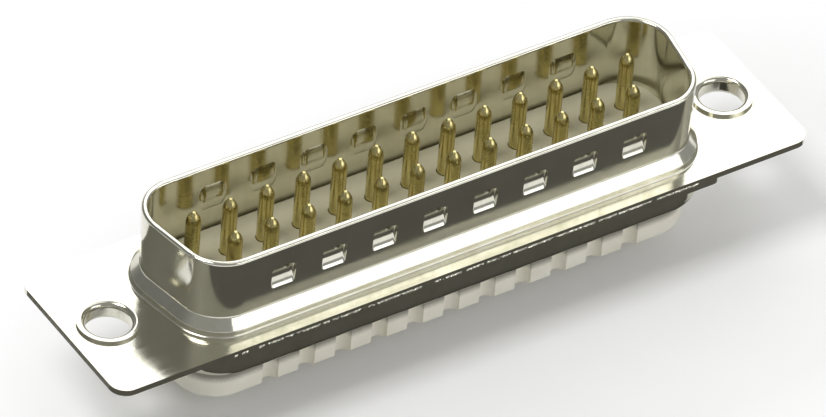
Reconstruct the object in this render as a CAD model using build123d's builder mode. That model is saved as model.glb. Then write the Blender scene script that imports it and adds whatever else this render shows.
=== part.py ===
import os
from math import radians, tan

from build123d import *

# A 25-way D-sub plug with solder cups, in millimetres.
# The origin is midway between the mounting holes on the flange's front face.
# +X runs along the connector, +Y points to the wide side of the D, +Z points out of the mouth.

# Contact layout
contact_pitch = 2.76
row_gap = 2.84
wide_count = 13
narrow_count = wide_count - 1

# Mouth of the D, measured inside the front shell
end_room = 2.92
side_room = 2.76
mouth_corner = 2.6
mouth_draft = 0.15
end_slant = 10
mouth_length = (wide_count - 1) * contact_pitch + 2 * end_room
mouth_depth = row_gap + 2 * side_room

# Sheet metal of both shells
sheet = 0.45
shell_height = 5.84
rim_round = 0.4 * sheet

# Drawn step round the base of the D, whose inside is the front insulator's pocket
step_out = 0.45
step_wall = 0.45
step_slope = 0.7
step_ledge = 0.65
step_bend = 0.45 * step_out
step_edge = 0.2 * step_out
root_round = 0.25 * step_wall
step_height = step_wall + step_slope
pocket_height = step_height - step_ledge

# Grounding dents along both long walls of the D, each pressed by a short lying bar
dent_count = 8
dent_width = 1.8
dent_height = 1.9
dent_depth = 0.42
dent_round = 0.2
dent_drop = 2.5
dent_end_room = 6.09
bump_depth = dent_depth - sheet / 3
bump_width = dent_width + 1.5 * sheet
bump_radius = 1.3 * dent_height
bump_round = dent_round + sheet

# Rear shell: cup behind the flange, full depth along the body, round ears at the holes
cup_out = 0.77
cup_depth = 2.45
cup_round = 0.75
plate_overhang = 0.1
plate_corner = 0.8
ear_inset = 0.65

# Eyelets that rivet the two shells together
bore_diameter = 3.05
eyelet_wall = 0.25
eyelet_lap = 0.325
eyelet_flare = 0.2
eyelet_edge = 0.5 * eyelet_flare
eyelet_mouth = 0.6 * (eyelet_wall + eyelet_lap)
eyelet_tube = bore_diameter + 2 * eyelet_wall
eyelet_rim = eyelet_tube + 2 * eyelet_lap

# Flange, wide enough for the rear cup and for the eyelets beside it
flange_ledge = 0.875
eyelet_room = 0.72
eyelet_margin = 0.9
flange_corner = 1.2
hole_spacing = mouth_length + 2 * (cup_out + sheet + eyelet_room) + eyelet_rim
flange_length = hole_spacing + eyelet_rim + 2 * eyelet_margin
flange_depth = mouth_depth + 2 * (cup_out + sheet + flange_ledge)
ear_width = eyelet_rim + 2 * (eyelet_margin - ear_inset)

# Insulators
fit_gap = 0.1
face_height = 0.45
face_corner = 3.0
face_round = 0.2
seam_depth = 1.6
boss_out = 0.32
boss_height = 2.4
boss_round = 0.3
scallop_radius = 0.22 * contact_pitch
scallop_drop = 0.2

# Contacts
pin_diameter = 1.02
pin_recess = 0.5
nose_length = 0.85
nose_flat = 0.2
pin_gap = 0.04
body_diameter = 1.85
collar_lip = 0.125
collar_height = 0.6
collar_diameter = body_diameter + 2 * collar_lip
bucket_length = 1.6
bucket_root = 0.3
bucket_wall = 0.3
scoop_offset = 0.35
scoop_slope = 0.5

# Heights worked out from the sizes above
front_face = pocket_height + face_height
seam = -seam_depth
cup_bottom = -sheet - cup_depth - sheet
lip_face = cup_bottom + sheet
boss_bottom = cup_bottom - boss_height
contact_end = boss_bottom - bucket_length
scoop_top = boss_bottom - bucket_root
pin_tip = shell_height - pin_recess
collar_top = seam + collar_height

# Places worked out from the sizes above
hole_places = [(-hole_spacing / 2, 0), (hole_spacing / 2, 0)]
wide_row = [((i - (wide_count - 1) / 2) * contact_pitch, row_gap / 2) for i in range(wide_count)]
narrow_row = [((i - (narrow_count - 1) / 2) * contact_pitch, -row_gap / 2) for i in range(narrow_count)]
contact_places = wide_row + narrow_row
boss_edge = mouth_depth / 2 + boss_out
scallop_places = [(x, boss_edge) for x, y in narrow_row] + [(x, -boss_edge) for x, y in wide_row[1:-1]]
dent_pitch = (mouth_length - 2 * dent_end_room) / (dent_count - 1)
dent_radius = (dent_height**2 / 4 + dent_depth**2) / (2 * dent_depth)
dent_stand = mouth_depth / 2 + sheet + dent_radius - dent_depth
bump_stand = mouth_depth / 2 + bump_radius - bump_depth
dent_places = []
bump_places = []
for i in range(dent_count):
    dent_x = (i - (dent_count - 1) / 2) * dent_pitch
    dent_z = shell_height - dent_drop
    dent_places.append(Location((dent_x, -dent_stand, dent_z)))
    dent_places.append(Location((dent_x, dent_stand, dent_z), (0, 0, 180)))
    bump_places.append(Location((dent_x, -bump_stand, dent_z)))
    bump_places.append(Location((dent_x, bump_stand, dent_z), (0, 0, 180)))

# How far apart two heights may lie and still be one level
same_level = 0.001

os.makedirs("parts", exist_ok=True)


# The mouth's rounded D grown evenly all round, with its own or a given corner radius.
def mouth_outline(grow, corner=None):
    radius = mouth_corner + grow
    half_depth = mouth_depth / 2 + grow
    wide = mouth_length / 2 - mouth_corner + radius / tan(radians(45 - end_slant / 2))
    narrow = wide - 2 * half_depth * tan(radians(end_slant))
    with BuildSketch(mode=Mode.PRIVATE) as outline:
        with BuildLine():
            Polyline(
                (-wide, half_depth),
                (wide, half_depth),
                (narrow, -half_depth),
                (-narrow, -half_depth),
                close=True,
            )
        make_face()
        fillet(outline.vertices(), corner or radius)
    return outline.sketch


# Level edges of a part at one height.
def level_edges(part, height):
    level = part.edges().filter_by(Plane.XY)
    return level.filter_by_position(Axis.Z, height - same_level, height + same_level)


# Labels a finished piece and writes it to its own file.
def save(piece, name):
    piece.label = name
    export_step(piece, f"parts/{name}.step")


# Bar that presses one dent, about its own axis along X
with BuildPart() as dent_bar:
    Cylinder(dent_radius, dent_width, rotation=(0, 90, 0))
    fillet(dent_bar.edges().filter_by(GeomType.CIRCLE), dent_round)

# Softer bump that the bar raises inside the wall, from the middle of the sheet inwards
with BuildPart() as dent_bump:
    Cylinder(bump_radius, bump_width, rotation=(0, 90, 0))
    fillet(dent_bump.edges().filter_by(GeomType.CIRCLE), bump_round)
    split(
        bisect_by=Plane((0, bump_radius - bump_depth - sheet / 2, 0), z_dir=(0, 1, 0)),
        keep=Keep.TOP,
    )

# Front shell: flange, stepped base and D drawn from one sheet
with BuildPart() as front_shell:
    with BuildSketch():
        RectangleRounded(flange_length, flange_depth, flange_corner)
    extrude(amount=-sheet)
    with BuildSketch():
        add(mouth_outline(sheet + step_out))
    extrude(amount=step_wall)
    with BuildSketch(Plane.XY.offset(step_wall)):
        add(mouth_outline(sheet + step_out))
    with BuildSketch(Plane.XY.offset(step_height)):
        add(mouth_outline(sheet - mouth_draft))
    loft()
    with BuildSketch(Plane.XY.offset(step_height)):
        add(mouth_outline(sheet - mouth_draft))
    with BuildSketch(Plane.XY.offset(shell_height)):
        add(mouth_outline(sheet))
    loft()
    fillet(level_edges(front_shell, step_height), step_bend)
    fillet(level_edges(front_shell, step_wall), step_edge)
    between_holes = level_edges(front_shell, 0).filter_by_position(
        Axis.X, -hole_spacing / 2, hole_spacing / 2
    )
    fillet(between_holes.sort_by(Axis.Y)[1:-1], root_round)

    with BuildSketch(Plane.XY.offset(-sheet)):
        add(mouth_outline(step_out))
    extrude(amount=sheet + pocket_height, mode=Mode.SUBTRACT)
    with BuildSketch(Plane.XY.offset(pocket_height)):
        add(mouth_outline(-mouth_draft))
    with BuildSketch(Plane.XY.offset(shell_height)):
        add(mouth_outline(0))
    loft(mode=Mode.SUBTRACT)
    fillet(level_edges(front_shell, shell_height), rim_round)

    with Locations(*bump_places):
        add(dent_bump.part)
    with Locations(*dent_places):
        add(dent_bar.part, mode=Mode.SUBTRACT)
    with Locations(*hole_places):
        Hole(eyelet_tube / 2)
save(front_shell.part, "front_shell")

# Rear shell: plate against the flange and a cup with an inward lip
with BuildPart() as rear_shell:
    with BuildSketch(Plane.XY.offset(-sheet)):
        RectangleRounded(mouth_length + 2 * plate_overhang, flange_depth, plate_corner)
        SlotCenterToCenter(hole_spacing, ear_width)
    extrude(amount=-sheet)
    with BuildSketch(Plane.XY.offset(-sheet)):
        add(mouth_outline(cup_out + sheet))
    extrude(amount=cup_bottom + sheet)
    fillet(level_edges(rear_shell, cup_bottom), cup_round)

    with BuildSketch(Plane.XY.offset(-sheet)):
        add(mouth_outline(cup_out))
    extrude(amount=lip_face + sheet, mode=Mode.SUBTRACT)
    with BuildSketch(Plane.XY.offset(lip_face)):
        add(mouth_outline(boss_out + fit_gap))
    extrude(amount=cup_bottom - lip_face, mode=Mode.SUBTRACT)
    with Locations(*hole_places):
        Hole(eyelet_tube / 2)
save(rear_shell.part, "rear_shell")

# Front insulator: face plate in the mouth on a flange that fills the shell's pocket
with BuildPart() as front_insulator:
    with BuildSketch(Plane.XY.offset(seam)):
        add(mouth_outline(step_out - fit_gap))
    extrude(amount=pocket_height - seam)
    with BuildSketch(Plane.XY.offset(pocket_height)):
        add(mouth_outline(-mouth_draft - fit_gap, face_corner))
    extrude(amount=front_face - pocket_height)
    fillet(level_edges(front_insulator, front_face), face_round)
    with BuildSketch(Plane.XY.offset(seam)):
        with Locations(*contact_places):
            Circle(pin_diameter / 2 + pin_gap)
    extrude(amount=front_face - seam, mode=Mode.SUBTRACT)
    with BuildSketch(Plane.XY.offset(seam)):
        with Locations(*contact_places):
            Circle(collar_diameter / 2 + pin_gap)
    extrude(amount=collar_height, mode=Mode.SUBTRACT)
save(front_insulator.part, "front_insulator")

# Rear insulator: flange in the rear shell's cup, and a boss through its window with scalloped sides
with BuildPart() as rear_insulator:
    with BuildSketch(Plane.XY.offset(lip_face)):
        add(mouth_outline(cup_out - fit_gap))
    extrude(amount=seam - lip_face)
    with BuildSketch(Plane.XY.offset(boss_bottom)):
        add(mouth_outline(boss_out))
    extrude(amount=lip_face - boss_bottom)
    fillet(level_edges(rear_insulator, boss_bottom), boss_round)
    with BuildSketch(Plane.XY.offset(boss_bottom)):
        with Locations(*scallop_places):
            Circle(scallop_radius)
    extrude(amount=boss_height - scallop_drop, mode=Mode.SUBTRACT)
    with BuildSketch(Plane.XY.offset(boss_bottom)):
        with Locations(*contact_places):
            Circle(body_diameter / 2 + pin_gap)
    extrude(amount=seam - boss_bottom, mode=Mode.SUBTRACT)
save(rear_insulator.part, "rear_insulator")

# One contact on the Z axis: pin, collar and a solder cup that opens towards -Y
with BuildPart() as contact_form:
    with BuildSketch(Plane.XZ):
        with BuildLine():
            nose = TangentArc(
                (pin_diameter / 2, pin_tip - nose_length),
                (nose_flat / 2, pin_tip),
                tangent=(0, 1),
            )
            Polyline(
                nose @ 1,
                (0, pin_tip),
                (0, contact_end),
                (body_diameter / 2, contact_end),
                (body_diameter / 2, seam),
                (collar_diameter / 2, seam),
                (collar_diameter / 2, collar_top),
                (pin_diameter / 2, collar_top),
                nose @ 0,
            )
        make_face()
    revolve()
    with BuildSketch(Plane.XY.offset(contact_end)):
        Circle(body_diameter / 2 - bucket_wall)
    extrude(amount=bucket_length, mode=Mode.SUBTRACT)
    with BuildSketch(Plane.YZ):
        with BuildLine():
            Polyline(
                (-scoop_offset, contact_end),
                (-scoop_offset, scoop_top - scoop_slope),
                (-body_diameter, scoop_top),
                (-body_diameter, contact_end),
                close=True,
            )
        make_face()
    extrude(amount=body_diameter, both=True, mode=Mode.SUBTRACT)

# The contacts in their rows, solder cups opening towards the other row
for number, (x, y) in enumerate(contact_places, start=1):
    with BuildPart() as contact:
        with Locations(Location((x, y, 0), (0, 0, 0 if y > 0 else 180))):
            add(contact_form.part)
    save(contact.part, f"contact_{number:02d}")

# Eyelets: tubes through both shells, flared over each face
with BuildPart() as eyelet_form:
    with BuildSketch(Plane.XZ) as eyelet_section:
        with BuildLine():
            Polyline(
                (bore_diameter / 2, eyelet_flare),
                (eyelet_rim / 2, eyelet_flare),
                (eyelet_rim / 2, 0),
                (eyelet_tube / 2, 0),
                (eyelet_tube / 2, -2 * sheet),
                (eyelet_rim / 2, -2 * sheet),
                (eyelet_rim / 2, -2 * sheet - eyelet_flare),
                (bore_diameter / 2, -2 * sheet - eyelet_flare),
                close=True,
            )
        make_face()
        lip_corners = eyelet_section.vertices().group_by(Axis.Y)
        lip_corners = (lip_corners[0] + lip_corners[-1]).group_by(Axis.X)
        fillet(lip_corners[0], eyelet_mouth)
        fillet(lip_corners[-1], eyelet_edge)
    revolve()
with BuildPart() as flange_eyelets:
    with Locations(*hole_places):
        add(eyelet_form.part)
save(flange_eyelets.part, "flange_eyelets")
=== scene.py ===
from math import cos, radians, sin

import bpy
import bmesh
from mathutils import Matrix, Vector


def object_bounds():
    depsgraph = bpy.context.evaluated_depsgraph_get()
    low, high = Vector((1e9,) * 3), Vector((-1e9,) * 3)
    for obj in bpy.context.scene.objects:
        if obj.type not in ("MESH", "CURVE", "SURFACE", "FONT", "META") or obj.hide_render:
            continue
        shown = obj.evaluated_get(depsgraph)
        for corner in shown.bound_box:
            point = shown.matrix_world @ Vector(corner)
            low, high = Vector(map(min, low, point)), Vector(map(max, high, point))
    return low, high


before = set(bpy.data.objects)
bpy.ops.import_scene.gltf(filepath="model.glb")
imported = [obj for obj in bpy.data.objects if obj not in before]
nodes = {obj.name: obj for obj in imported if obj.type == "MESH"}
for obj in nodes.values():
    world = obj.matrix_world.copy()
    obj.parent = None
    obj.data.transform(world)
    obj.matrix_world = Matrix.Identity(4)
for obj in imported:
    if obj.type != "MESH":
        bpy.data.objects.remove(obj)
cadLow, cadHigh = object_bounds()
mm = 0.001
print("frame loaded:", len(nodes), "nodes")


# A shader socket that takes part in Python sums
class Socket:
    def __init__(self, finish, link):
        self.finish = finish
        self.link = link

    def sum(self, operation, first, second=0.0):
        return self.finish.node("ShaderNodeMath", {"operation": operation}, {0: first, 1: second})

    def __add__(self, other):
        return self.sum("ADD", self, other)

    def __radd__(self, other):
        return self.sum("ADD", other, self)

    def __sub__(self, other):
        return self.sum("SUBTRACT", self, other)

    def __rsub__(self, other):
        return self.sum("SUBTRACT", other, self)

    def __mul__(self, other):
        return self.sum("MULTIPLY", self, other)

    def __rmul__(self, other):
        return self.sum("MULTIPLY", other, self)

    def __gt__(self, other):
        return self.sum("GREATER_THAN", self, other)

    def __lt__(self, other):
        return self.sum("LESS_THAN", self, other)

    def __abs__(self):
        return self.sum("ABSOLUTE", self)


# The node tree of one material, or of the world
class Finish:
    def __init__(self, name, owner=None):
        self.owner = owner or bpy.data.materials.new(name)
        self.owner.use_nodes = True
        self.tree = self.owner.node_tree
        self.tree.nodes.clear()

    # A node by its type, with its settings set first and then its sockets' values or links
    def node(self, kind, settings=None, sockets=None, out=0):
        made = self.tree.nodes.new(kind)
        for key, value in (settings or {}).items():
            setattr(made, key, value)
        for key, value in (sockets or {}).items():
            if isinstance(value, Socket):
                self.tree.links.new(value.link, made.inputs[key])
            else:
                made.inputs[key].default_value = value
        return Socket(self, made.outputs[out]) if made.outputs else None

    # Object coordinates stretched by a scale in cycles per metre
    def coords(self, scale, shift=(0, 0, 0)):
        where = self.node("ShaderNodeTexCoord", out="Object")
        return self.node("ShaderNodeMapping", {}, {"Vector": where, "Location": shift, "Scale": scale})

    # One of the Object coordinates, in metres
    def along(self, axis):
        where = self.node("ShaderNodeTexCoord", out="Object")
        return self.node("ShaderNodeSeparateXYZ", {}, {0: where}, out=axis)

    def noise(self, scale, detail, rough=0.6):
        sockets = {"Vector": self.coords(scale), "Scale": 1.0, "Detail": detail, "Roughness": rough}
        return self.node("ShaderNodeTexNoise", {}, sockets, out="Fac")

    # A value pulled from one span to another, held at the ends
    def span(self, value, low, high, toLow=0.0, toHigh=1.0):
        ends = {"From Min": low, "From Max": high, "To Min": toLow, "To Max": toHigh}
        return self.node("ShaderNodeMapRange", {"clamp": True}, {"Value": value, **ends})

    def mix(self, factor, first, second):
        return self.node("ShaderNodeMix", {"data_type": "RGBA"}, {0: factor, 6: first, 7: second}, out=2)

    def bump(self, height, depth, strength=1.0):
        return self.node("ShaderNodeBump", {}, {"Height": height, "Strength": strength, "Distance": depth})

    def principled(self, sockets):
        return self.node("ShaderNodeBsdfPrincipled", {}, sockets, out="BSDF")

    # The tree's last node, after which the material or world is whole
    def close(self, shader):
        kind = "World" if isinstance(self.owner, bpy.types.World) else "Material"
        self.node("ShaderNodeOutput" + kind, {}, {"Surface": shader})
        return self.owner


def rgb(red, green, blue):
    return (red, green, blue, 1.0)


def blend(first, second, share):
    return first * (1 - share) + second * share


def wear(piece, finish):
    piece.data.materials.clear()
    piece.data.materials.append(finish)


shellPlate = {
    "colour": rgb(0.79, 0.775, 0.675),
    "dull": rgb(0.70, 0.685, 0.57),
    "rough": (0.08, 0.17),
    "roughSpan": (0.35, 0.65),
    "roughMarks": 0.5,
    "stainSpan": (0.42, 0.66),
    "stainMarks": 0.3,
    "flatSpan": (0.6, 0.9),  # from wall to level plate
    "blotchScale": (350, 350, 350),
    "drawnScale": (2600, 2600, 160),
    "rolledScale": (120, 2200, 2200),
    "grainScale": (9000, 9000, 9000),
    "grainShare": 0.3,
    "markDepth": 0.004 * mm,
    "tornDepth": 0.0,
}
flangePlate = {
    **shellPlate,
    "tornDepth": 0.5 * mm,
    "tornScale": (2200, 2200, 700),
    "tornSpan": (0.42, 0.66),
    "tornTop": (-0.28 * mm, -0.44 * mm),  # where it starts and where it is full
    "tornFoot": -0.46 * mm,
    "tornEnds": (18.0 * mm, 16.5 * mm),
    "tornRough": 0.10,
}


# Bright plating over drawn sheet: draw marks up the walls, rolling marks along the flange,
# faint blotches, and where asked the torn lower half of a sheared edge
def platedSteel(name, values):
    plate = Finish(name)
    blotch = plate.noise(values["blotchScale"], 4.0)
    drawn = plate.noise(values["drawnScale"], 3.0)
    rolled = plate.noise(values["rolledScale"], 3.0)
    grain = plate.noise(values["grainScale"], 2.0, 0.5)
    facing = plate.node("ShaderNodeNewGeometry", out="Normal")
    upward = plate.node("ShaderNodeSeparateXYZ", {}, {0: facing}, out="Z")
    flat = plate.span(abs(upward), *values["flatSpan"])
    marks = blend(drawn, rolled, flat)
    stain = plate.span(blend(blotch, marks, values["stainMarks"]), *values["stainSpan"])
    uneven = blend(blotch, marks, values["roughMarks"])
    rough = plate.span(uneven, *values["roughSpan"], *values["rough"])
    height = blend(marks, grain, values["grainShare"])
    if values["tornDepth"]:
        level = plate.along("Z")
        band = plate.span(level, *values["tornTop"]) * (level > values["tornFoot"])
        inside = plate.span(abs(plate.along("X")), *values["tornEnds"])
        edge = band * inside * (1 - flat)
        torn = plate.span(plate.noise(values["tornScale"], 2.0), *values["tornSpan"]) * edge
        height = height + torn * (values["tornDepth"] / values["markDepth"])
        rough = rough + edge * values["tornRough"]
    return plate.close(plate.principled({
        "Base Color": plate.mix(stain, values["colour"], values["dull"]),
        "Metallic": 1.0,
        "Roughness": rough,
        "Normal": plate.bump(height, values["markDepth"]),
    }))


contactGold = {
    "colour": rgb(0.69, 0.60, 0.28),
    "dull": rgb(0.51, 0.45, 0.205),
    "dullSpan": (0.4, 0.68),
    "rough": (0.16, 0.32),
    "roughSpan": (0.35, 0.65),
    "roughRings": 0.4,
    "blotchScale": (900, 900, 500),
    "ringScale": (300, 300, 9000),
    "ringDepth": 0.03 * mm,
    "ringStrength": 0.15,
}


# Gold plating over turned contacts: fine rings from turning, uneven plating
def goldPlate(name, values):
    gold = Finish(name)
    rings = gold.noise(values["ringScale"], 2.0)
    blotch = gold.noise(values["blotchScale"], 4.0)
    worn = gold.span(blotch, *values["dullSpan"])
    uneven = blend(blotch, rings, values["roughRings"])
    return gold.close(gold.principled({
        "Base Color": gold.mix(worn, values["colour"], values["dull"]),
        "Metallic": 1.0,
        "Roughness": gold.span(uneven, *values["roughSpan"], *values["rough"]),
        "Normal": gold.bump(rings, values["ringDepth"], values["ringStrength"]),
    }))


mouldSkin = {
    "flowScale": (260, 420, 420),
    "fillerScale": (14000, 14000, 14000),
    "skinScale": (6000, 6000, 6000),
    "cloudSpan": (0.38, 0.66),
    "cloudFiller": 0.25,
    "rough": (0.42, 0.6),
    "roughSpan": (0.35, 0.65),
    "roughSkin": 0.5,
    "bumpFiller": 0.4,
    "bumpDepth": 0.04 * mm,
    "bumpStrength": 0.2,
}
frontPlastic = {
    **mouldSkin,
    "colour": rgb(0.54, 0.515, 0.375),
    "shade": rgb(0.46, 0.435, 0.305),
    "paintedShade": 0.0,
}
rearPlastic = {
    **mouldSkin,
    "colour": rgb(0.92, 0.895, 0.79),
    "shade": rgb(0.84, 0.805, 0.68),
    # painted shade: a dark band at the boss's root, standing in for the shade under the rear shell's skirt
    "paintedShade": 0.8,
    "paintedShadeColour": rgb(0.13, 0.12, 0.095),
    "paintedShadeSpan": (-4.5 * mm, -3.95 * mm),
    "paintedShadeRagged": 0.2 * mm,
}


# Glass-filled moulded plastic: cloudy flow, fine sparkle of filler, matt skin,
# and where asked painted shade, a ragged dark band at the boss's root under the rear shell's skirt
def mouldedPlastic(name, values):
    plastic = Finish(name)
    flow = plastic.noise(values["flowScale"], 5.0)
    filler = plastic.noise(values["fillerScale"], 2.0)
    skin = plastic.noise(values["skinScale"], 3.0)
    cloud = plastic.span(blend(flow, filler, values["cloudFiller"]), *values["cloudSpan"])
    colour = plastic.mix(cloud, values["colour"], values["shade"])
    # painted shade: darkens the rear insulator above about -3.95 mm, fading out by -4.5 mm, at the boss's
    # root under the rear shell's skirt
    if values["paintedShade"]:
        level = plastic.along("Z") + (skin - 0.5) * values["paintedShadeRagged"]
        shadeBand = plastic.span(level, *values["paintedShadeSpan"])
        colour = plastic.mix(shadeBand * values["paintedShade"], colour, values["paintedShadeColour"])
    uneven = blend(flow, skin, values["roughSkin"])
    grain = blend(skin, filler, values["bumpFiller"])
    return plastic.close(plastic.principled({
        "Base Color": colour,
        "Roughness": plastic.span(uneven, *values["roughSpan"], *values["rough"]),
        "Normal": plastic.bump(grain, values["bumpDepth"], values["bumpStrength"]),
    }))


steel = platedSteel("shellSteel", shellPlate)
gold = goldPlate("contactGold", contactGold)
for name, piece in nodes.items():
    if name.startswith("contact_"):
        wear(piece, gold)
wear(nodes["rear_shell"], steel)
wear(nodes["flange_eyelets"], steel)
wear(nodes["front_shell"], platedSteel("flangeSteel", flangePlate))
wear(nodes["front_insulator"], mouldedPlastic("frontPlastic", frontPlastic))
wear(nodes["rear_insulator"], mouldedPlastic("rearPlastic", rearPlastic))
print("finishes on")


# A staged thing made from a bmesh, in its finish
def setOut(name, form, finish):
    mesh = bpy.data.meshes.new(name)
    form.to_mesh(mesh)
    form.free()
    thing = bpy.data.objects.new(name, mesh)
    bpy.context.scene.collection.objects.link(thing)
    wear(thing, finish)
    return thing


floorPaper = {
    "size": 3.0,
    "colour": rgb(0.95, 0.95, 0.95),
    "shade": rgb(0.92, 0.92, 0.92),
    "rough": 0.9,
    "fibreScale": (60, 60, 60),
    "fibreSpan": (0.3, 0.7),
    "shadowReach": (0.034, 0.018),
    "shadowShift": (-0.235, 0.22, 0),
    "whiteSpan": (0.85, 1.25),  # in shadow reaches from the shadow's middle
    # painted light: this share of white glow lies over the cast shadow too, lightening it
    "whiteLeast": 0.09,
    "white": rgb(1.0, 1.0, 1.0),
}


# Pale floor under the solder cups' ends, clean white outside the shadow to the camera and in reflections;
# the white is a glow mixed in, and its whiteLeast share also lies over the cast shadow as painted light
# that lightens it
def makeFloor(values):
    paper = Finish("floorPaper")
    fibre = paper.span(paper.noise(values["fibreScale"], 3.0), *values["fibreSpan"])
    matt = paper.principled({
        "Base Color": paper.mix(fibre, values["colour"], values["shade"]),
        "Roughness": values["rough"],
        "Specular IOR Level": 0.0,
    })
    across, deep = values["shadowReach"]
    reaches = paper.coords((1 / across, 1 / deep, 0), values["shadowShift"])
    away = paper.node("ShaderNodeVectorMath", {"operation": "LENGTH"}, {0: reaches}, out="Value")
    clear = paper.span(away, *values["whiteSpan"], values["whiteLeast"], 1.0)
    seen = (paper.node("ShaderNodeLightPath", out="Is Camera Ray")
            + paper.node("ShaderNodeLightPath", out="Is Glossy Ray")
            + paper.node("ShaderNodeLightPath", out="Is Transmission Ray"))
    white = paper.node("ShaderNodeEmission", {}, {"Color": values["white"], "Strength": 1.0})
    finish = paper.close(paper.node("ShaderNodeMixShader", {}, {0: clear * seen, 1: matt, 2: white}))
    form = bmesh.new()
    bmesh.ops.create_grid(form, x_segments=1, y_segments=1, size=values["size"])
    bmesh.ops.translate(form, verts=form.verts, vec=(0, 0, cadLow.z))
    floor = setOut("floor", form, finish)


darkCards = {
    "colour": rgb(0.105, 0.102, 0.092),
    "lift": 0.2 * mm,
    "sheets": (  # left, right, near and far edge of each
        (-0.16, 0.16, -0.022, -0.0062),
        (-0.0165, 0.0215, -0.0062, 0.0),
        (-0.16, -0.0302, -0.0062, 0.019),
    ),
    "hiddenFrom": ("camera", "diffuse", "transmission", "volume_scatter", "shadow"),
}


# Dark cards on the floor in front of the connector, under it and beside it, seen only in its reflections
def makeCards(values):
    felt = Finish("cardFelt")
    finish = felt.close(felt.principled({
        "Base Color": values["colour"],
        "Roughness": 1.0,
        "Specular IOR Level": 0.0,
    }))
    form = bmesh.new()
    for left, right, near, far in values["sheets"]:
        middle = ((left + right) / 2, (near + far) / 2, cadLow.z + values["lift"])
        sheet = bmesh.ops.create_grid(form, x_segments=1, y_segments=1, size=0.5)["verts"]  # a metre square
        bmesh.ops.scale(form, verts=sheet, vec=(right - left, far - near, 1))
        bmesh.ops.translate(form, verts=sheet, vec=middle)
    card = setOut("darkCard", form, finish)
    for ray in values["hiddenFrom"]:
        setattr(card, "visible_" + ray, False)


surround = {
    "colour": rgb(1.0, 1.0, 0.98),
    "fill": 0.32,
    "dimFill": 0.19,
    "dimSide": (-0.555, 0.619, 0.555),
    "dimSpan": (0.72, 0.92),  # cosines from that side, where dimming starts and where it is full
}


# Plain pale surround, dimmer than the softboxes so that the plating shows both, and dimmest on one side
def makeWorld(values):
    world = bpy.data.worlds.new("surround")
    bpy.context.scene.world = world
    sky = Finish("surround", world)
    bright, dim = (
        sky.node("ShaderNodeBackground", {}, {"Color": values["colour"], "Strength": values[key]})
        for key in ("fill", "dimFill")
    )
    towards = sky.node("ShaderNodeTexCoord", out="Generated")
    beside = sky.node("ShaderNodeVectorMath", {"operation": "DOT_PRODUCT"},
                      {0: towards, 1: values["dimSide"]}, out="Value")
    share = sky.span(beside, *values["dimSpan"])
    sky.close(sky.node("ShaderNodeMixShader", {}, {0: share, 1: bright, 2: dim}))


# Place, size and watts of each softbox
softboxes = {
    "topBox": ((-0.20, 0.04, 0.44), (0.18, 0.18), 1.0),
    "backBox": ((0.19755, 0.27585, 0.29565), (0.35, 0.35), 0.6),
    "frontBox": ((0.19755, -0.3447, 0.2115), (0.40, 0.20), 0.42),
    "overBox": ((0.19755, 0.0, 0.404325), (0.16, 0.36), 0.19),
}


# A soft lamp turned to the connector, which stands at the origin
def makeSoftbox(name, place, size, power):
    lamp = bpy.data.lights.new(name, "AREA")
    lamp.shape = "RECTANGLE"
    lamp.size, lamp.size_y = size
    lamp.energy = power
    box = bpy.data.objects.new(name, lamp)
    bpy.context.scene.collection.objects.link(box)
    box.location = place
    box.rotation_mode = "QUATERNION"
    box.rotation_quaternion = (-Vector(place)).to_track_quat("-Z", "Y")
    box.visible_camera = False


makeFloor(floorPaper)
makeWorld(surround)
makeCards(darkCards)
for name, settings in softboxes.items():
    makeSoftbox(name, *settings)
print("studio set")


view = {
    "azimuth": -35.62,
    "elevation": 41.1,
    "roll": 5.0,
    "focalPixels": 11474,
    "pictureWidth": 826,
    "distance": 733.4 * mm,
    "target": Vector((-4.10, -5.04, 5.53)) * mm,
    "sensor": 36.0,
    "clip": (0.01, 20.0),
}


# Camera fitted to the photograph's pins, holes and flange edges, for a picture of 826 x 417
def makeCamera(values):
    turn, tilt, roll = (radians(values[key]) for key in ("azimuth", "elevation", "roll"))
    back = Vector((sin(turn) * cos(tilt), -cos(turn) * cos(tilt), sin(tilt)))
    right = Vector((cos(turn), sin(turn), 0))
    up = back.cross(right)
    across = right * cos(roll) + up * sin(roll)
    above = up * cos(roll) - right * sin(roll)
    lens = bpy.data.cameras.new("camera")
    lens.sensor_fit = "HORIZONTAL"
    lens.sensor_width = values["sensor"]
    lens.lens = values["focalPixels"] * values["sensor"] / values["pictureWidth"]
    lens.clip_start, lens.clip_end = values["clip"]
    camera = bpy.data.objects.new("camera", lens)
    bpy.context.scene.collection.objects.link(camera)
    place = Matrix((across, above, back)).transposed().to_4x4()
    place.translation = values["target"] + back * values["distance"]
    camera.matrix_world = place
    bpy.context.scene.camera = camera


makeCamera(view)
bpy.context.scene.view_settings.view_transform = "Standard"
print("camera placed")
